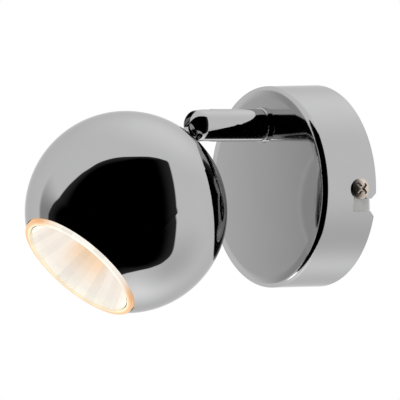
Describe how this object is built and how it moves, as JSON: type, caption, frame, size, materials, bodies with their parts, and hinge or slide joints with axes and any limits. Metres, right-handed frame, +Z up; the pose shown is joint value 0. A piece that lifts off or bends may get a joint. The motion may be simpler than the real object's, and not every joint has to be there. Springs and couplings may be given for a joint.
{
  "type": "spotlight wall light",
  "caption": "Round chrome wall base with a swivelling arm that carries a tilting spherical spotlight with a twist-lock reflector lamp.",
  "frame": {"origin": "centre of the base's back plane, on the wall", "axes": "+Y into the wall, +Z up, +X to the right as one faces the wall"},
  "size_m": [0.0832, 0.1258, 0.0865],
  "materials": {
    "chrome": "polished chrome plate",
    "chrome_shell": "polished chrome plate on spun steel",
    "zinc_steel": "bright zinc plate",
    "screw_steel": "nickel plate, slightly warm",
    "brass": "machined",
    "terminal_plastic": "moulded polyamide",
    "bush_plastic": "moulded acetal",
    "ceramic": "glazed steatite ceramic",
    "earth_insulation": "green and yellow lead insulation",
    "lead_insulation": "silicone lead insulation",
    "sleeve_fibre": "woven glass-fibre sleeve",
    "reflector_coating": "evaporated aluminium on faceted glass",
    "lamp_glass": "clear",
    "filament_wire": "tungsten"
  },
  "bodies": {
    "wall_base": {"base_cover": "chrome", "wall_bracket": "zinc_steel", "cover_screws": "screw_steel", "terminal_block": "terminal_plastic", "terminal_tubes": "brass", "terminal_screws": "zinc_steel", "block_screw": "zinc_steel", "earth_screw": "brass", "earth_tag": "brass", "earth_lead": "earth_insulation", "base_leads": "lead_insulation", "collar_ring": "chrome", "swivel_bush": "bush_plastic", "wave_washer": "zinc_steel", "stop_pin": "zinc_steel"},
    "arm": {"arm_tube": "chrome", "stop_washer": "zinc_steel", "swivel_nut": "zinc_steel", "pivot_screw": "screw_steel", "pivot_washers": "brass", "arm_sleeve": "sleeve_fibre", "arm_leads": "lead_insulation"},
    "head": {"pivot_lug": "chrome", "ball_shell": "chrome_shell", "saddle_washer": "zinc_steel", "shell_nut": "zinc_steel", "holder_bracket": "zinc_steel", "lampholder": "ceramic", "holder_screws": "zinc_steel", "holder_contacts": "brass", "head_leads": "lead_insulation"},
    "lamp": {"lamp_reflector": "reflector_coating", "lamp_lens": "lamp_glass", "lamp_capsule": "lamp_glass", "lamp_filament": "filament_wire", "lamp_base": "ceramic", "lamp_pins": "zinc_steel"}
  },
  "joints": [
    {"name": "arm_swivel", "type": "hinge", "parent": "wall_base", "child": "arm", "pos_m": [0, -0.0241, 0.0242], "axis": [0, 1, 0], "range_deg": [-170, 170]},
    {"name": "head_tilt", "type": "hinge", "parent": "arm", "child": "head", "pos_m": [0, -0.0532, 0.0242], "axis": [1, 0, 0], "range_deg": [-88.5, 33]},
    {"name": "lamp_twist", "type": "hinge", "parent": "head", "child": "lamp", "pos_m": [0, -0.0532, 0.0242], "axis": [0, -0.7254, -0.6884], "range_deg": [0, 20]}
  ]
}
